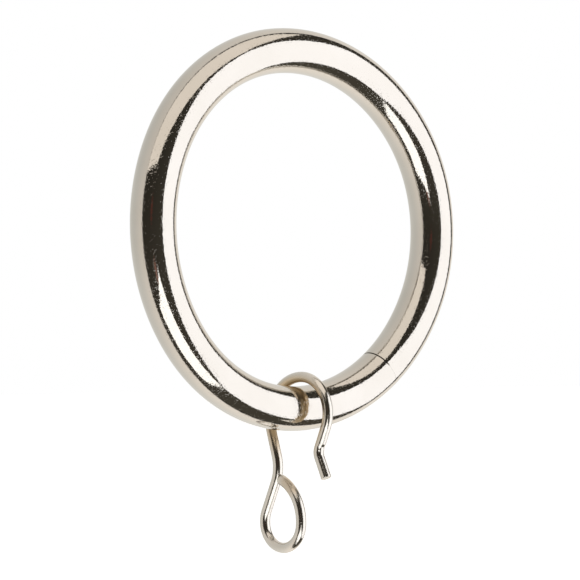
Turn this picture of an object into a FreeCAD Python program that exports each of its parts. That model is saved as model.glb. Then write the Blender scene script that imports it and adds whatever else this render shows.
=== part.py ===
"""Curtain ring: a round tube bent into a ring, and a bent wire hook that hangs on it.

Millimetres, +Z up. The origin is the middle of the ring, where the curtain pole passes along Y. The ring
lies in the XZ plane, as it hangs, and the hook hangs under its lowest point with its open side to the front, -Y.
"""
import FreeCAD, Part
import math
import os

Vector = FreeCAD.Vector

# Ring: a tube bent round until its two ends meet in a butt seam
pole_passage = 42.0         # mean inside diameter of the ring
tube_outside = 6.0
tube_wall = 1.0
lobes = 3                   # gentle lobes round the ring, with as many flats between them
out_of_round = 0.2          # how far the lobes stand out, and the flats lie in
seam_direction = -53.0      # degrees from +X towards +Z; one of the flats lies at the seam
seam_gap = 0.05
seam_edge_round = 0.15

# Hook: one piece of wire, from the flared tip over the ring and down to the closed eye
wire = 1.4
cut_edge_round = 0.12       # on the wire's two cut ends
hook_turn = 7.0             # degrees that the hook is turned about Z, its tip towards +X
seat_clearance = 0.55       # under the crook's top, above the ring's tube
front_room = 1.1            # what the crook's front bend is larger than the tube
back_room = 2.2             # what the crook's back bend is larger than the tube
crown_forward = 0.8         # of the crook's top, in front of the tube's axis
leg_lean = 23.0             # degrees from upright, inwards to the neck
neck_below_tube = 2.8
neck_bend = 1.5             # radius of the wire's axis
tip_lean = 25.0             # degrees from upright, outwards below the neck
tip_length = 3.7
shank_lean = 17.0           # degrees from upright, inwards under the ring
bend_below_tube = 5.3
shank_bend = 5.0            # radius of the wire's axis
eye_inside = 5.4            # width between the wires at the round end
eye_below_bend = 7.1
eye_forward = 0.6           # of the eye's round end, in front of the shank's bend
end_lean = 55.0             # degrees from upright, of the wire where it comes back to the shank
end_turn = 23.0             # degrees round the shank's bend to where the wire's end meets it
end_gap = 0.05              # between the wire's end and the shank

# Worked out from the sizes above
centre_radius = (pole_passage + tube_outside) / 2
bore = tube_outside - 2 * tube_wall
sector = 180 / lobes        # degrees that each lobe and each flat takes
arc_shift = out_of_round / (1 - math.cos(math.radians(sector / 2)))


def unit(degrees):
    """Unit vector in the ring's plane, at an angle from +X towards +Z."""
    return Vector(math.cos(math.radians(degrees)), 0, math.sin(math.radians(degrees)))


def ring_arc(direction):
    """Centre and radius of the arc that the tube's axis follows in one direction from the ring's middle.

    The arcs are struck from points at the same small shift from the middle, and meet smoothly. The wide arcs
    are the flats, the first of them at the seam, and the narrow ones are the lobes.
    """
    count = round((direction - seam_direction) / sector)
    outwards = -1 if count % 2 == 0 else 1
    centre = unit(seam_direction + sector * count) * (outwards * arc_shift)
    return centre, centre_radius - outwards * (arc_shift - out_of_round)


def ring_point(direction):
    centre, radius = ring_arc(direction)
    return centre + unit(direction) * radius


def ring_path():
    """Axis of the tube, from one end at the seam round to the other."""
    half_gap = math.degrees(seam_gap / 2 / centre_radius)
    joins = [seam_direction + sector * (count + 0.5) for count in range(2 * lobes)]
    stops = [seam_direction + half_gap] + joins + [seam_direction + 360 - half_gap]
    path = []
    for start, end in zip(stops, stops[1:]):
        centre, radius = ring_arc((start + end) / 2)
        points = [centre + unit(angle) * radius for angle in (start, (start + end) / 2, end)]
        path.append(Part.Arc(*points).toShape())
    return path


def rod(path, diameter):
    """Round bar along a path of arcs and straight runs that meet smoothly, cut square at both ends."""
    start, heading = path_end(path[0], path[0].FirstParameter)
    circle = Part.Wire(Part.makeCircle(diameter / 2, start, heading))
    return Part.Wire(path).makePipeShell([circle], True, False)


def path_end(edge, parameter):
    return edge.valueAt(parameter), edge.tangentAt(parameter)


def round_ends(bar, path, radius):
    """Rounds the rims of a bar's two cut ends."""
    centres = [path_end(path[0], path[0].FirstParameter)[0], path_end(path[-1], path[-1].LastParameter)[0]]
    rims = [edge for edge in bar.Edges if any(is_rim(edge, centre) for centre in centres)]
    return bar.makeFillet(radius, rims)


def is_rim(edge, centre):
    curve = edge.Curve
    return isinstance(curve, Part.Circle) and curve.Center.isEqual(centre, 1e-4)


def ring():
    path = ring_path()
    tube = round_ends(rod(path, tube_outside), path, seam_edge_round)
    return tube.cut(rod(path, bore))


def flat(forward, height):
    """Point or offset in the hook's own plane, which faces along X until the hook is turned."""
    return Vector(0, -forward, height)


def aim(degrees):
    """Unit vector in the hook's plane, at an angle from the front upwards."""
    return flat(math.cos(math.radians(degrees)), math.sin(math.radians(degrees)))


def angle_of(offset):
    return math.degrees(math.atan2(offset.z, -offset.y))


def straight(start, end):
    return Part.LineSegment(start, end).toShape()


def arc(centre, radius, start, end):
    """Arc in the hook's plane between two angles."""
    points = [centre + aim(angle) * radius for angle in (start, (start + end) / 2, end)]
    return Part.Arc(*points).toShape()


def bend(before, corner, after, radius):
    """Arc that rounds the corner between two straight runs: its first point, edge, last point and centre."""
    arriving = (corner - before).normalize()
    leaving = (after - corner).normalize()
    half_turn = arriving.getAngle(leaving) / 2
    reach = radius * math.tan(half_turn)
    first = corner - arriving * reach
    last = corner + leaving * reach
    centre = corner + (leaving - arriving).normalize() * (radius / math.cos(half_turn))
    middle = centre + (corner - centre).normalize() * radius
    return first, Part.Arc(first, middle, last).toShape(), last, centre


def hook_path():
    """Axis of the wire, from the flared tip to the end that closes the eye."""
    tube_axis = ring_point(-90).z
    front_radius = (tube_outside + wire) / 2 + front_room
    back_radius = (tube_outside + wire) / 2 + back_room
    eye_radius = (eye_inside + wire) / 2

    # crook over the tube
    crown = flat(crown_forward, tube_axis + tube_outside / 2 + seat_clearance + wire / 2)
    front_centre = crown - flat(0, front_radius)
    back_centre = crown - flat(0, back_radius)
    leg_top = front_centre + aim(-leg_lean) * front_radius
    shank_top = back_centre + aim(180 + shank_lean) * back_radius

    # leg, neck and flared tip
    neck_height = tube_axis - tube_outside / 2 - neck_below_tube
    leg_length = (leg_top.z - neck_height) / math.cos(math.radians(leg_lean))
    neck = leg_top + aim(-90 - leg_lean) * leg_length
    tip = neck + aim(-90 + tip_lean) * tip_length
    neck_first, neck_arc, neck_last, _ = bend(tip, neck, leg_top, neck_bend)

    # shank, and the eye's long side, which touches the eye's round end
    bend_height = tube_axis - tube_outside / 2 - bend_below_tube
    shank_length = (shank_top.z - bend_height) / math.cos(math.radians(shank_lean))
    corner = shank_top + aim(-90 + shank_lean) * shank_length
    eye_centre = corner + flat(eye_forward, -eye_below_bend)
    to_eye = eye_centre - corner
    side_angle = angle_of(to_eye) - math.degrees(math.asin(eye_radius / to_eye.Length))
    side_end = eye_centre + aim(side_angle - 90) * eye_radius
    bend_first, bend_arc, bend_last, bend_centre = bend(shank_top, corner, side_end, shank_bend)

    # free end of the wire, its cut corner against the shank's bend
    end_corner = bend_centre + aim(-end_turn) * (shank_bend + wire / 2 + end_gap)
    inwards = aim(180 + end_lean)
    end = end_corner - inwards * (wire / 2)

    # arc that leads from the eye's round end to the free end
    from_eye = end - eye_centre
    return_radius = (eye_radius ** 2 - from_eye.Length ** 2) / 2 / (from_eye.dot(inwards) + eye_radius)
    return_centre = end + inwards * return_radius
    leaving_angle = angle_of(eye_centre - return_centre) + 360

    return [
        straight(tip, neck_first),
        neck_arc,
        straight(neck_last, leg_top),
        arc(front_centre, front_radius, -leg_lean, 90),
        arc(back_centre, back_radius, 90, 180 + shank_lean),
        straight(shank_top, bend_first),
        bend_arc,
        straight(bend_last, side_end),
        arc(eye_centre, eye_radius, side_angle + 270, leaving_angle),
        arc(return_centre, return_radius, leaving_angle - 360, end_lean),
    ]


def hook():
    path = hook_path()
    shape = round_ends(rod(path, wire), path, cut_edge_round)
    shape.rotate(Vector(0, 0, 0), Vector(0, 0, 1), hook_turn)
    return shape


os.makedirs("parts", exist_ok=True)
ring().exportStep("parts/ring.step")
hook().exportStep("parts/hook.step")
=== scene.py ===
"""Curtain ring: a nickel-plated tube bent into a ring, with a bent wire hook, in a plain pale studio.

Metres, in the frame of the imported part: the ring lies in the XZ plane round the origin, +Z is up, and the
hook hangs under its lowest point with its open side to the front, -Y.
"""
import math

import bmesh
import bpy
from mathutils import Matrix, Vector

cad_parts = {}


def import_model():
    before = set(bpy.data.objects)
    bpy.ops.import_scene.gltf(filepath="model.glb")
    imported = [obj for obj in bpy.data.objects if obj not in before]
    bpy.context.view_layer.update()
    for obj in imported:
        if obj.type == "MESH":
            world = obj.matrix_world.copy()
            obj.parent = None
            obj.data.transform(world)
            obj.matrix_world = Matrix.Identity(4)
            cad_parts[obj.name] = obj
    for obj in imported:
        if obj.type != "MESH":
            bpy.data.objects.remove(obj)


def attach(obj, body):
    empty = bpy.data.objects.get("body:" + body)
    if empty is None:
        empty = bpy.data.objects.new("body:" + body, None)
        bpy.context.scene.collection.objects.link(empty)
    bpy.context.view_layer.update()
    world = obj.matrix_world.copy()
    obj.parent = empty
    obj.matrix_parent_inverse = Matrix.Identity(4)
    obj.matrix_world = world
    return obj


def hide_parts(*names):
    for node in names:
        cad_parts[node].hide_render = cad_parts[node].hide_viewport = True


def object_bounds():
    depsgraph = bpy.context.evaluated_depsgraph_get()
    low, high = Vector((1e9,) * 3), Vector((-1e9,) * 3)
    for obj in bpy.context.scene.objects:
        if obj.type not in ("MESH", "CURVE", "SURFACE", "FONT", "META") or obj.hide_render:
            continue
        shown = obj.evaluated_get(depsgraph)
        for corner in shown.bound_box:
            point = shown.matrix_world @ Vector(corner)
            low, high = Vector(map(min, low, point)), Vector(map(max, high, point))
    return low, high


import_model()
cad_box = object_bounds()

# Ring, as in the part: a tube bent round until its two ends meet in a butt seam
POLE_PASSAGE = 0.042        # mean inside diameter of the ring
TUBE_OUTSIDE = 0.006
TUBE_WALL = 0.001
LOBES = 3                   # gentle lobes round the ring, with as many flats between them
OUT_OF_ROUND = 0.0002       # how far the lobes stand out, and the flats lie in
SEAM_DIRECTION = -53.0      # degrees from +X towards +Z; one of the flats lies at the seam
SEAM_GAP = 0.00005
SEAM_EDGE_ROUND = 0.00015

# Seam as the photo shows it: nearly closed and sharp, but for the side that is inside the ring
SEAM_OPENS = 0.35           # of the tube's radius, inwards from its axis, where the seam begins to open
SEAM_TIGHTNESS = 0.92       # how much closer and sharper it is where it is closed, and wider where it is open

# Hook, as in the part but for the lean of its free end, with angles in degrees
WIRE = 0.0014
CUT_EDGE_ROUND = 0.00012    # on the wire's two cut ends
HOOK_TURN = 7.0             # about Z, its tip towards +X
SEAT_CLEARANCE = 0.00055    # under the crook's top, above the ring's tube
FRONT_ROOM = 0.0011         # what the crook's front bend is larger than the tube
BACK_ROOM = 0.0022          # what the crook's back bend is larger than the tube
CROWN_FORWARD = 0.0008      # of the crook's top, in front of the tube's axis
LEG_LEAN = 23.0             # from upright, inwards to the neck
NECK_BELOW_TUBE = 0.0028
NECK_BEND = 0.0015          # radius of the wire's axis
TIP_LEAN = 25.0             # from upright, outwards below the neck
TIP_LENGTH = 0.0037
SHANK_LEAN = 17.0           # from upright, inwards under the ring
BEND_BELOW_TUBE = 0.0053
SHANK_BEND = 0.005          # radius of the wire's axis
EYE_INSIDE = 0.0054         # width between the wires at the round end
EYE_BELOW_BEND = 0.0071
EYE_FORWARD = 0.0006        # of the eye's round end, in front of the shank's bend
END_LEAN = 68.0             # from upright, 13 more than in the part, as the photo's outline asks
END_TURN = 23.0             # round the shank's bend to where the wire's end meets it
END_GAP = 0.00005           # between the wire's end and the shank

# Crease across the front of the wire, just above the neck
CREASE_UP = 0.00095         # from the neck's corner
CREASE_HALF = 0.00045       # half of its height
CREASE_DEPTH = 0.0001

# Worked out from the sizes above
CENTRE_RADIUS = (POLE_PASSAGE + TUBE_OUTSIDE) / 2
SECTOR = 180 / LOBES        # degrees that each lobe and each flat takes
ARC_SHIFT = OUT_OF_ROUND / (1 - math.cos(math.radians(SECTOR / 2)))

# Mesh steps
TUBE_SIDES = 64
RING_STEP = 0.5             # degrees along the ring
BORE_STEP = 3.0             # degrees along the hidden bore
WIRE_SIDES = 40
BEND_STEP = 2.5             # degrees along a bend of the wire
RUN_STEP = 0.0001           # along a straight run of the wire
RIM_STEPS = 6               # over a rounded rim
RIM_SUPPORT = 1.25          # of the rounding, where one more loop keeps the surface beyond the rim flat
RIM_CLEAR = 2.0             # of the rounding, where the steps of the wire's own path begin
SHARP_ANGLE = 40            # degrees between two faces, from which the edge between them is sharp

# Camera, at the photograph's place
CAMERA_PLACE = Vector((-0.216233, -0.268392, -0.015295))
CAMERA_AIM = Vector((0.624976, 0.780371, 0.020641))
CAMERA_LENS = 159.42        # mm, as is the sensor
CAMERA_SENSOR = 36
CAMERA_CLIP = (0.01, 10)

FLOOR_BELOW = 0.05          # the floor's distance under the hook
FLOOR_SIZE = 6.0
FLOOR_COLOUR = (0.9, 0.9, 0.9)
FLOOR_ROUGHNESS = 0.9
FLOOR_LIFT = 0.7            # what the floor shows the camera beside the light that falls on it

WORLD_LIGHT = 0.8           # the white world's strength on matt surfaces

# Nickel plate of each piece: its pale and its deep tint, its range of roughness, and the height of its grain
RING_PLATE = ((0.70, 0.665, 0.61), (0.67, 0.635, 0.575), (0.045, 0.07), 8e-6)
HOOK_PLATE = ((0.77, 0.73, 0.665), (0.73, 0.69, 0.625), (0.14, 0.21), 8e-6)

# Noise in the plate: scale, in waves a metre, and detail
TINT_NOISE = (180, 3)
ROUGHNESS_NOISE = (900, 4)
GRAIN_NOISE = (3200, 1.5)
PIT_NOISE = (5000, 1)
WEAR_NOISE = (1200, 3)
NOISE_SPREAD = (0.3, 0.7)   # between which nearly all of a noise's values lie

# Small pits in the plate
PIT_REACH = (0.61, 0.73)    # noise at a pit's rim, and at its bottom
PIT_DEPTH = -0.6            # beside the grain's height

# Darker colour along the seam
SEAM_DARK_COLOUR = (0.07, 0.055, 0.035)
SEAM_DARK_ASIDE = (0.00012, 0.00008)    # to each side of the seam, where the darkening ends and where it is full
SEAM_DARK_REACH = (0.0008, 0.0014)      # inwards from the tube's axis, where the darkening begins and is full

# Finish of the hook where it is worn
BRASS = (0.62, 0.475, 0.295)
WEAR_FACING = (-0.7, 0.9)       # cosine of the surface's turn from the tube, where wear begins and is full
WEAR_UNEVEN = 0.3               # what the noise adds to that cosine
WEAR_REACH = (0.0050, 0.0080)   # distance from the tube's axis, where the wear is full and where it ends
WEAR_END_BACK = 0.0020          # back from the free end's cut to the middle of its worn patch
WEAR_END = (0.0009, 0.0022)     # distance from there, where the wear is full and where it ends
WEAR_END_SHARE = 0.45           # how much of that patch is worn
WEAR_ROUGHNESS = 0.15           # what the wear adds to the plate's roughness

# Studio as the metal sees it: a pale backdrop behind, a dark room in front, and three cards
STUDIO_RADIUS = 20.0
STUDIO_STEPS = 4                            # subdivisions of the dome
DARK_ROOM = (0.048, 0.043, 0.034)
DARK_TILT = 0.38                            # brighter below
DARK_SIDE = 0.28                            # and to +X
BACKDROP_MIDDLE = (0.727, 0.725, 0.70)
BACKDROP_ROUND = (0.904, 0.854, 0.796)      # nearer to its horizon
BACKDROP_BLEND = (0.1, 1)                   # cosine of the turn from +Y, nearer the horizon and in the middle
BACKDROP_EDGE = (0.0, 0.0, 0.0)             # at its horizon
BACKDROP_FADE = (0.02, 0.125)               # that cosine, where the edge begins to fade and where it ends
BACKDROP_TURN = 0.05                        # how much wider that edge is to +X
BACKDROP_TILT = 0.155                       # brighter below
BACKDROP_SIDE = 0.145                       # and to +X
HORIZON_BLUR = 0.02                         # that cosine, over which room and backdrop blend to each side

# Faint glows in the dark room: degrees round from +Y towards +X and up, and light
GLOW_REACH = (0.994, 0.999)                 # cosine of the turn from its middle, where it ends and is full
GLOWS = [
    ((-137, -16), (0.26, 0.14, 0.11)),
    ((-135, 7), (0.12, 0.045, 0.035)),
]

# Cards: name, middle, turns about X, Y and Z in degrees, width and height, light
CARDS = [
    ("softbox", (1.0815, -0.986, 0.1085), (78.3, 6.7, -138.8), (2.052, 2.582), (1.43, 1.43, 1.48)),
    ("top_card", (-0.045, -0.0712, 0.1112), (165.2, -15.8, -2.1), (0.233, 0.1455), (0.98, 0.905, 0.825)),
    ("front_card", (-0.190, -0.2475, -0.3387), (60.1, 37.7, 132.0), (0.353, 0.3885), (1.65, 1.65, 1.65)),
]


def unit(degrees):
    """Unit vector in the ring's plane, at an angle from +X towards +Z."""
    return Vector((math.cos(math.radians(degrees)), 0, math.sin(math.radians(degrees))))


def ring_arc(direction):
    """Centre and radius of the arc that the tube's axis follows in one direction from the ring's middle.

    The arcs are struck from points at the same small shift from the middle, and meet smoothly. The wide arcs
    are the flats, the first of them at the seam, and the narrow ones are the lobes.
    """
    count = round((direction - SEAM_DIRECTION) / SECTOR)
    outwards = -1 if count % 2 == 0 else 1
    centre = unit(SEAM_DIRECTION + SECTOR * count) * (outwards * ARC_SHIFT)
    return centre, CENTRE_RADIUS - outwards * (ARC_SHIFT - OUT_OF_ROUND)


def ring_point(direction):
    centre, radius = ring_arc(direction)
    return centre + unit(direction) * radius


def section(centre, first, second, radius, sides):
    """Points round a bar's section, in the plane of two unit vectors."""
    turns = [2 * math.pi * side / sides for side in range(sides)]
    return [centre + (first * math.cos(turn) + second * math.sin(turn)) * radius for turn in turns]


def rim(section_radius, rounding):
    """Steps over the rounded rim of a cut end: (distance in from the cut, radius of the section there)."""
    steps = []
    for step in range(RIM_STEPS + 1):
        turn = math.pi / 2 * (1 - step / RIM_STEPS)
        steps.append((rounding * (1 - math.sin(turn)), section_radius - rounding * (1 - math.cos(turn))))
    return steps + [(rounding * RIM_SUPPORT, section_radius)]


def spread(start, end, step):
    """Values evenly spaced from start to end, both included, no more than a step apart."""
    count = max(1, math.ceil(abs(end - start) / step))
    return [start + (end - start) * index / count for index in range(count + 1)]


def skin(name, loops, capped):
    """Smooth mesh over a row of loops of points, with two flat caps or joined back to its first loop."""
    sides = len(loops[0])
    faces = []
    for here in range(len(loops) - 1 if capped else len(loops)):
        there = (here + 1) % len(loops)
        for side in range(sides):
            after = (side + 1) % sides
            corners = ((here, side), (here, after), (there, after), (there, side))
            faces.append([loop * sides + point for loop, point in corners])
    if capped:
        last = (len(loops) - 1) * sides
        faces.append(tuple(reversed(range(sides))))
        faces.append(tuple(range(last, last + sides)))
    mesh = bpy.data.meshes.new(name)
    mesh.from_pydata([point for loop in loops for point in loop], [], faces)
    mesh.shade_smooth()
    mesh.set_sharp_from_angle(angle=math.radians(SHARP_ANGLE))
    piece = bpy.data.objects.new(name, mesh)
    bpy.context.scene.collection.objects.link(piece)
    return piece


def ring_loop(direction, radius):
    """Loop round the tube's axis in one direction from the ring's middle."""
    return section(ring_point(direction), unit(direction), Vector((0, 1, 0)), radius, TUBE_SIDES)


def cut_loop(direction, way, inwards, radius):
    """Loop over the rounded rim of the tube's end, which lies one way round the ring from the cut.

    On the ring's inner side the seam is open, and its rim is as rounded as the part's. Elsewhere it is nearly
    closed and sharp.
    """
    centre, along = ring_point(direction), unit(direction + 90) * way
    points = []
    for place in section(centre, unit(direction), Vector((0, 1, 0)), TUBE_OUTSIDE / 2, TUBE_SIDES):
        inner = (centre - place).dot(unit(direction)) / (TUBE_OUTSIDE / 2)
        opening = max(0, (inner - SEAM_OPENS) / (1 - SEAM_OPENS))
        rounding = 1 - SEAM_TIGHTNESS * (1 - opening)
        drop = (1 - radius / (TUBE_OUTSIDE / 2)) * rounding
        shift = inwards * rounding + SEAM_GAP / 2 * SEAM_TIGHTNESS * (2 * opening - 1)
        points.append(place.lerp(centre, drop) + along * shift)
    return points


def ring_skin():
    """The bent tube, from its rounded end at the seam round to the other, and back along its bore."""
    def turned(distance):
        return math.degrees(distance / CENTRE_RADIUS)

    profile = rim(TUBE_OUTSIDE / 2, SEAM_EDGE_ROUND)
    start = SEAM_DIRECTION + turned(SEAM_GAP / 2)
    end = SEAM_DIRECTION + 360 - turned(SEAM_GAP / 2)
    rounded = turned(SEAM_EDGE_ROUND)
    outside = spread(start + rounded, end - rounded, RING_STEP)[1:-1]
    bore = spread(end, start, BORE_STEP)
    loops = [cut_loop(start, 1, inwards, radius) for inwards, radius in profile]
    loops += [ring_loop(direction, TUBE_OUTSIDE / 2) for direction in outside]
    loops += [cut_loop(end, -1, inwards, radius) for inwards, radius in profile[::-1]]
    loops += [ring_loop(direction, TUBE_OUTSIDE / 2 - TUBE_WALL) for direction in bore]
    return skin("ring_tube", loops, capped=False)


def flat(forward, height):
    """Point or offset in the hook's own plane, which faces along X until the hook is turned."""
    return Vector((0, -forward, height))


def aim(degrees):
    """Unit vector in the hook's plane, at an angle from the front upwards."""
    return flat(math.cos(math.radians(degrees)), math.sin(math.radians(degrees)))


def angle_of(offset):
    return math.degrees(math.atan2(offset.z, -offset.y))


def straight(start, end):
    """Steps of the wire along a straight run, each a place and the wire's heading there."""
    heading = (end - start).normalized()
    return [(start.lerp(end, share), heading) for share in spread(0, 1, RUN_STEP / (end - start).length)]


def arc(centre, radius, start, end):
    """Steps of the wire along an arc between two angles, which may turn either way."""
    quarter = math.copysign(90, end - start)
    return [(centre + aim(angle) * radius, aim(angle + quarter)) for angle in spread(start, end, BEND_STEP)]


def bend(before, corner, after, radius):
    """Arc that rounds the corner between two straight runs: its first point, steps, last point and centre."""
    arriving = (corner - before).normalized()
    leaving = (after - corner).normalized()
    half_turn = arriving.angle(leaving) / 2
    reach = radius * math.tan(half_turn)
    centre = corner + (leaving - arriving).normalized() * (radius / math.cos(half_turn))
    first = corner - arriving * reach
    last = corner + leaving * reach
    start = angle_of(first - centre)
    turn = (angle_of(last - centre) - start + 180) % 360 - 180
    return first, arc(centre, radius, start, start + turn), last, centre


def hook_turned():
    """Turn of the hook about Z, from its own plane to where it hangs."""
    return Matrix.Rotation(math.radians(HOOK_TURN), 4, "Z")


def hook_path():
    """Steps of the wire's axis, from the flared tip to the end that closes the eye."""
    tube_axis = ring_point(-90).z
    front_radius = (TUBE_OUTSIDE + WIRE) / 2 + FRONT_ROOM
    back_radius = (TUBE_OUTSIDE + WIRE) / 2 + BACK_ROOM
    eye_radius = (EYE_INSIDE + WIRE) / 2

    # crook over the tube
    crown = flat(CROWN_FORWARD, tube_axis + TUBE_OUTSIDE / 2 + SEAT_CLEARANCE + WIRE / 2)
    front_centre = crown - flat(0, front_radius)
    back_centre = crown - flat(0, back_radius)
    leg_top = front_centre + aim(-LEG_LEAN) * front_radius
    shank_top = back_centre + aim(180 + SHANK_LEAN) * back_radius

    # leg, neck and flared tip
    neck_height = tube_axis - TUBE_OUTSIDE / 2 - NECK_BELOW_TUBE
    leg_length = (leg_top.z - neck_height) / math.cos(math.radians(LEG_LEAN))
    neck = leg_top + aim(-90 - LEG_LEAN) * leg_length
    tip = neck + aim(-90 + TIP_LEAN) * TIP_LENGTH
    neck_first, neck_steps, neck_last, _ = bend(tip, neck, leg_top, NECK_BEND)

    # shank, and the eye's long side, which touches the eye's round end
    bend_height = tube_axis - TUBE_OUTSIDE / 2 - BEND_BELOW_TUBE
    shank_length = (shank_top.z - bend_height) / math.cos(math.radians(SHANK_LEAN))
    corner = shank_top + aim(-90 + SHANK_LEAN) * shank_length
    eye_centre = corner + flat(EYE_FORWARD, -EYE_BELOW_BEND)
    to_eye = eye_centre - corner
    side_angle = angle_of(to_eye) - math.degrees(math.asin(eye_radius / to_eye.length))
    side_end = eye_centre + aim(side_angle - 90) * eye_radius
    bend_first, bend_steps, bend_last, bend_centre = bend(shank_top, corner, side_end, SHANK_BEND)

    # free end, its cut corner against the shank's bend, and the arc that leads to it from the eye's round end
    end_corner = bend_centre + aim(-END_TURN) * (SHANK_BEND + WIRE / 2 + END_GAP)
    inwards = aim(180 + END_LEAN)
    end = end_corner - inwards * (WIRE / 2)
    from_eye = end - eye_centre
    return_radius = (eye_radius ** 2 - from_eye.length ** 2) / 2 / (from_eye.dot(inwards) + eye_radius)
    return_centre = end + inwards * return_radius
    leaving_angle = angle_of(eye_centre - return_centre) + 360

    runs = [
        straight(tip, neck_first),
        neck_steps,
        straight(neck_last, leg_top),
        arc(front_centre, front_radius, -LEG_LEAN, 90),
        arc(back_centre, back_radius, 90, 180 + SHANK_LEAN),
        straight(shank_top, bend_first),
        bend_steps,
        straight(bend_last, side_end),
        arc(eye_centre, eye_radius, side_angle + 270, leaving_angle),
        arc(return_centre, return_radius, leaving_angle - 360, END_LEAN),
    ]
    return runs[0] + [step for run in runs[1:] for step in run[1:]]


def crease_depth(place, heading):
    """Depth of the crease at a step of the wire, which only the rising stretch above the tip has."""
    height = ring_point(-90).z - TUBE_OUTSIDE / 2 - NECK_BELOW_TUBE + CREASE_UP
    share = max(0, 1 - ((place.z - height) / CREASE_HALF) ** 2) ** 2
    return CREASE_DEPTH * share if heading.z > 0 else 0


def creased(point, place, depth):
    """Point of the wire's surface, pressed in towards its axis where it faces the front."""
    outwards = (point - place).normalized()
    return point - outwards * depth * max(0, outwards.dot(aim(0)))


def hook_skin():
    """The bent wire, with the rims of its two cut ends rounded."""
    path = hook_path()
    profile = rim(WIRE / 2, CUT_EDGE_ROUND)
    margin = CUT_EDGE_ROUND * RIM_CLEAR
    (tip, tip_heading), (end, end_heading) = path[0], path[-1]

    def clear(place):
        return min((place - tip).length, (place - end).length) > margin

    steps = [(tip + tip_heading * inwards, tip_heading, radius) for inwards, radius in profile]
    steps += [(place, heading, WIRE / 2) for place, heading in path if clear(place)]
    steps += [(end - end_heading * inwards, end_heading, radius) for inwards, radius in profile[::-1]]
    across = Vector((1, 0, 0))
    loops = []
    for place, heading, radius in steps:
        loop = section(place, across.cross(heading), across, radius, WIRE_SIDES)
        depth = crease_depth(place, heading)
        loops.append([creased(point, place, depth) for point in loop])
    hook = skin("hook_wire", loops, capped=True)
    hook.data.transform(hook_turned())
    return hook


def shader(name):
    """New material: its nodes, its links and its Principled shader."""
    material = bpy.data.materials.new(name)
    material.use_nodes = True
    tree = material.node_tree
    return material, tree.nodes, tree.links, tree.nodes["Principled BSDF"]


def math_node(nodes, links, operation, *values):
    """A math node on sockets and plain numbers."""
    node = nodes.new("ShaderNodeMath")
    node.operation = operation
    for value, socket in zip(values, node.inputs):
        if isinstance(value, (int, float)):
            socket.default_value = value
        else:
            links.new(value, socket)
    return node.outputs["Value"]


def vector_node(nodes, links, operation, *values):
    """A vector math node on sockets and plain vectors."""
    node = nodes.new("ShaderNodeVectorMath")
    node.operation = operation
    for value, socket in zip(values, node.inputs):
        if isinstance(value, Vector):
            socket.default_value = value
        else:
            links.new(value, socket)
    return node


def scaled(nodes, links, colour, level):
    """Colour times a plain value."""
    scale = vector_node(nodes, links, "SCALE", colour)
    links.new(level, scale.inputs["Scale"])
    return scale.outputs["Vector"]


def mixed(nodes, links, factor, first, second):
    """Colour between two colours, each a socket or plain numbers."""
    mix = nodes.new("ShaderNodeMix")
    mix.data_type = "RGBA"
    links.new(factor, mix.inputs["Factor"])
    for name, value in (("A", first), ("B", second)):
        if isinstance(value, tuple):
            mix.inputs[name].default_value = (*value, 1)
        else:
            links.new(value, mix.inputs[name])
    return mix.outputs["Result"]


def rising(nodes, links, value, low, high):
    """Smooth step of a value, from 0 at one end to 1 at the other."""
    mapped = nodes.new("ShaderNodeMapRange")
    mapped.interpolation_type = "SMOOTHSTEP"
    mapped.inputs["From Min"].default_value = low
    mapped.inputs["From Max"].default_value = high
    links.new(value, mapped.inputs["Value"])
    return mapped.outputs["Result"]


def noise(nodes, links, scale, detail):
    """Noise in the piece's own space."""
    place = nodes.new("ShaderNodeTexCoord")
    texture = nodes.new("ShaderNodeTexNoise")
    texture.inputs["Scale"].default_value = scale
    texture.inputs["Detail"].default_value = detail
    links.new(place.outputs["Object"], texture.inputs["Vector"])
    return texture.outputs["Fac"]


def ranged(nodes, links, value, low, high):
    """A noise value as a value from low to high."""
    mapped = nodes.new("ShaderNodeMapRange")
    mapped.inputs["From Min"].default_value = NOISE_SPREAD[0]
    mapped.inputs["From Max"].default_value = NOISE_SPREAD[1]
    mapped.inputs["To Min"].default_value = low
    mapped.inputs["To Max"].default_value = high
    links.new(value, mapped.inputs["Value"])
    return mapped.outputs["Result"]


def nickel(name, pale, deep, roughness, grain):
    """Bright nickel plate: its tint varies a little, and its surface has a fine grain and small pits."""
    material, nodes, links, principled = shader(name)
    depth = ranged(nodes, links, noise(nodes, links, *TINT_NOISE), 0, 1)
    links.new(mixed(nodes, links, depth, pale, deep), principled.inputs["Base Color"])
    principled.inputs["Metallic"].default_value = 1
    uneven = ranged(nodes, links, noise(nodes, links, *ROUGHNESS_NOISE), *roughness)
    links.new(uneven, principled.inputs["Roughness"])
    bump = nodes.new("ShaderNodeBump")
    bump.inputs["Strength"].default_value = 1
    bump.inputs["Distance"].default_value = grain
    pits = rising(nodes, links, noise(nodes, links, *PIT_NOISE), *PIT_REACH)
    height = math_node(nodes, links, "MULTIPLY_ADD", pits, PIT_DEPTH, noise(nodes, links, *GRAIN_NOISE))
    links.new(height, bump.inputs["Height"])
    links.new(bump.outputs["Normal"], principled.inputs["Normal"])
    return material


def towards_tube(nodes, links, place):
    """Vector across the tube from a place on the hook to the tube's axis."""
    parts = nodes.new("ShaderNodeSeparateXYZ")
    links.new(place, parts.inputs["Vector"])
    across = nodes.new("ShaderNodeCombineXYZ")
    links.new(math_node(nodes, links, "MULTIPLY", parts.outputs["Y"], -1), across.inputs["Y"])
    links.new(math_node(nodes, links, "SUBTRACT", ring_point(-90).z, parts.outputs["Z"]), across.inputs["Z"])
    return across.outputs["Vector"]


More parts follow.
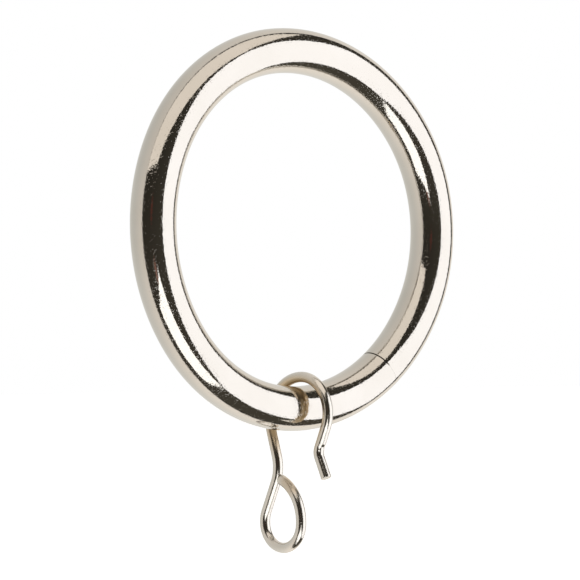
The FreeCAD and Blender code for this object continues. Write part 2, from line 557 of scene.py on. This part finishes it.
def worn_inside(nodes, links, place):
    """How worn the hook is where it faces the tube and lies near to it."""
    to_tube = towards_tube(nodes, links, place.outputs["Object"])
    towards = vector_node(nodes, links, "NORMALIZE", to_tube).outputs["Vector"]
    facing = vector_node(nodes, links, "DOT_PRODUCT", towards, place.outputs["Normal"]).outputs["Value"]
    uneven = math_node(nodes, links, "MULTIPLY_ADD", noise(nodes, links, *WEAR_NOISE), WEAR_UNEVEN, facing)
    away = vector_node(nodes, links, "LENGTH", to_tube).outputs["Value"]
    near = rising(nodes, links, away, *WEAR_REACH[::-1])
    return math_node(nodes, links, "MULTIPLY", rising(nodes, links, uneven, *WEAR_FACING), near)


def worn_end(nodes, links, place):
    """How worn the hook is in a patch near the wire's free end."""
    end, heading = hook_path()[-1]
    middle = hook_turned() @ (end - heading * WEAR_END_BACK)
    away = vector_node(nodes, links, "DISTANCE", place.outputs["Object"], middle).outputs["Value"]
    return math_node(nodes, links, "MULTIPLY", rising(nodes, links, away, *WEAR_END[::-1]), WEAR_END_SHARE)


def wear(material):
    """Brass shows through the hook's plate on its sides that face the tube, and near the wire's free end."""
    nodes, links = material.node_tree.nodes, material.node_tree.links
    colour = nodes["Principled BSDF"].inputs["Base Color"]
    roughness = nodes["Principled BSDF"].inputs["Roughness"]
    place = nodes.new("ShaderNodeTexCoord")
    worn = math_node(nodes, links, "MAXIMUM", worn_inside(nodes, links, place), worn_end(nodes, links, place))
    links.new(mixed(nodes, links, worn, colour.links[0].from_socket, BRASS), colour)
    rougher = math_node(nodes, links, "MULTIPLY_ADD", worn, WEAR_ROUGHNESS, roughness.links[0].from_socket)
    links.new(rougher, roughness)


def seam_darkening(material):
    """Darker colour along the seam, on the side of it that is inside the ring."""
    nodes, links = material.node_tree.nodes, material.node_tree.links
    colour = nodes["Principled BSDF"].inputs["Base Color"]
    place = nodes.new("ShaderNodeTexCoord").outputs["Object"]

    def along(direction):
        return vector_node(nodes, links, "DOT_PRODUCT", place, unit(direction)).outputs["Value"]

    outwards = along(SEAM_DIRECTION)
    aside = math_node(nodes, links, "ABSOLUTE", along(SEAM_DIRECTION + 90))
    seam_side = math_node(nodes, links, "GREATER_THAN", outwards, 0)
    inside = rising(nodes, links, outwards, *(CENTRE_RADIUS - reach for reach in SEAM_DARK_REACH))
    inside = math_node(nodes, links, "MULTIPLY", seam_side, inside)
    darker = math_node(nodes, links, "MULTIPLY", rising(nodes, links, aside, *SEAM_DARK_ASIDE), inside)
    links.new(mixed(nodes, links, darker, colour.links[0].from_socket, SEAM_DARK_COLOUR), colour)


def world():
    """Plain white background, the same to camera, glossy and transmission rays.

    The metal mirrors the studio, which stands before it.
    """
    white = bpy.data.worlds.new("white")
    white.use_nodes = True
    bpy.context.scene.world = white
    nodes, links = white.node_tree.nodes, white.node_tree.links
    path = nodes.new("ShaderNodeLightPath")
    seen = math_node(nodes, links, "MAXIMUM", path.outputs["Is Camera Ray"], path.outputs["Is Glossy Ray"])
    seen = math_node(nodes, links, "MAXIMUM", seen, path.outputs["Is Transmission Ray"])
    strength = math_node(nodes, links, "MULTIPLY_ADD", seen, 1 - WORLD_LIGHT, WORLD_LIGHT)
    nodes["Background"].inputs["Color"].default_value = (1, 1, 1, 1)
    links.new(strength, nodes["Background"].inputs["Strength"])


def glowing(name):
    """Material that only gives light: its nodes, its links and its Principled shader."""
    material, nodes, links, principled = shader(name)
    principled.inputs["Base Color"].default_value = (0, 0, 0, 1)
    principled.inputs["Specular IOR Level"].default_value = 0
    principled.inputs["Emission Strength"].default_value = 1
    return material, nodes, links, principled


def compass(around, up):
    """Unit vector at some degrees round from +Y towards +X, and up."""
    around, up = math.radians(around), math.radians(up)
    return Vector((math.cos(up) * math.sin(around), math.cos(up) * math.cos(around), math.sin(up)))


def studio():
    """Dome for the metal to mirror: a pale backdrop behind the object, and a dark room in front of it."""
    mesh = bpy.data.meshes.new("studio")
    shape = bmesh.new()
    bmesh.ops.create_icosphere(shape, subdivisions=STUDIO_STEPS, radius=STUDIO_RADIUS)
    shape.to_mesh(mesh)
    shape.free()
    dome = bpy.data.objects.new("studio", mesh)
    bpy.context.scene.collection.objects.link(dome)
    material, nodes, links, principled = glowing("studio")
    mesh.materials.append(material)

    place = nodes.new("ShaderNodeTexCoord")
    direction = vector_node(nodes, links, "NORMALIZE", place.outputs["Object"]).outputs["Vector"]
    parts = nodes.new("ShaderNodeSeparateXYZ")
    links.new(direction, parts.inputs["Vector"])
    behind = parts.outputs["Y"]

    def sloping(colour, tilt, side):
        """Colour that is brighter below by a tilt, and to +X by a side."""
        level = math_node(nodes, links, "MULTIPLY_ADD", parts.outputs["Z"], -tilt, 1)
        level = math_node(nodes, links, "MULTIPLY_ADD", parts.outputs["X"], side, level)
        return scaled(nodes, links, colour, level)

    middle = rising(nodes, links, behind, *BACKDROP_BLEND)
    backdrop = mixed(nodes, links, middle, BACKDROP_ROUND, BACKDROP_MIDDLE)
    turned = math_node(nodes, links, "MULTIPLY_ADD", parts.outputs["X"], -BACKDROP_TURN, behind)
    backdrop = mixed(nodes, links, rising(nodes, links, turned, *BACKDROP_FADE), BACKDROP_EDGE, backdrop)
    backdrop = sloping(backdrop, BACKDROP_TILT, BACKDROP_SIDE)

    room = DARK_ROOM
    for (around, up), shade in GLOWS:
        towards = vector_node(nodes, links, "DOT_PRODUCT", direction, compass(around, up))
        glow = rising(nodes, links, towards.outputs["Value"], *GLOW_REACH)
        room = mixed(nodes, links, glow, room, shade)
    room = sloping(room, DARK_TILT, DARK_SIDE)

    colour = mixed(nodes, links, rising(nodes, links, behind, -HORIZON_BLUR, HORIZON_BLUR), room, backdrop)
    links.new(colour, principled.inputs["Emission Color"])
    dome.visible_camera = False
    dome.visible_shadow = False


def card(name, middle, turns, size, shade):
    """Plain glowing card for the metal to mirror, hidden from the camera."""
    width, height = size
    corners = [(x * width / 2, y * height / 2, 0) for x, y in ((-1, -1), (1, -1), (1, 1), (-1, 1))]
    mesh = bpy.data.meshes.new(name)
    mesh.from_pydata(corners, [], [(0, 1, 2, 3)])
    board = bpy.data.objects.new(name, mesh)
    board.location = middle
    board.rotation_euler = [math.radians(turn) for turn in turns]
    bpy.context.scene.collection.objects.link(board)
    material, _, _, principled = glowing(name)
    principled.inputs["Emission Color"].default_value = (*shade, 1)
    mesh.materials.append(material)
    board.visible_camera = False
    board.visible_shadow = False


def floor():
    """Plain pale floor under the hanging object, white to the camera but for the object's shadow.

    The metal mirrors the studio in its place.
    """
    low, _ = cad_box
    mesh = bpy.data.meshes.new("floor")
    half = FLOOR_SIZE / 2
    height = low.z - FLOOR_BELOW
    corners = [(x, y, height) for x, y in ((-half, -half), (half, -half), (half, half), (-half, half))]
    mesh.from_pydata(corners, [], [(0, 1, 2, 3)])
    plane = bpy.data.objects.new("floor", mesh)
    bpy.context.scene.collection.objects.link(plane)
    material, nodes, links, principled = shader("floor")
    principled.inputs["Base Color"].default_value = (*FLOOR_COLOUR, 1)
    principled.inputs["Roughness"].default_value = FLOOR_ROUGHNESS
    principled.inputs["Specular IOR Level"].default_value = 0
    principled.inputs["Emission Color"].default_value = (1, 1, 1, 1)
    path = nodes.new("ShaderNodeLightPath")
    lift = math_node(nodes, links, "MULTIPLY", path.outputs["Is Camera Ray"], FLOOR_LIFT)
    links.new(lift, principled.inputs["Emission Strength"])
    mesh.materials.append(material)
    plane.visible_glossy = False


def camera():
    """Camera at the photograph's place."""
    lens = bpy.data.cameras.new("camera")
    lens.sensor_width = CAMERA_SENSOR
    lens.lens = CAMERA_LENS
    lens.clip_start, lens.clip_end = CAMERA_CLIP
    viewer = bpy.data.objects.new("camera", lens)
    viewer.location = CAMERA_PLACE
    viewer.rotation_euler = CAMERA_AIM.to_track_quat("-Z", "Y").to_euler()
    bpy.context.scene.collection.objects.link(viewer)
    bpy.context.scene.camera = viewer


def dress(piece, node, material):
    """A piece stands for its node, rides on the part's one body and takes its finish."""
    piece.data.materials.append(material)
    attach(piece, "root")
    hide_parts(node)


bpy.context.scene.view_settings.view_transform = "Standard"
camera()
world()
studio()
for values in CARDS:
    card(*values)
floor()
ring_plate = nickel("ring_nickel", *RING_PLATE)
seam_darkening(ring_plate)
dress(ring_skin(), "ring", ring_plate)
hook_plate = nickel("hook_nickel", *HOOK_PLATE)
wear(hook_plate)
dress(hook_skin(), "hook", hook_plate)
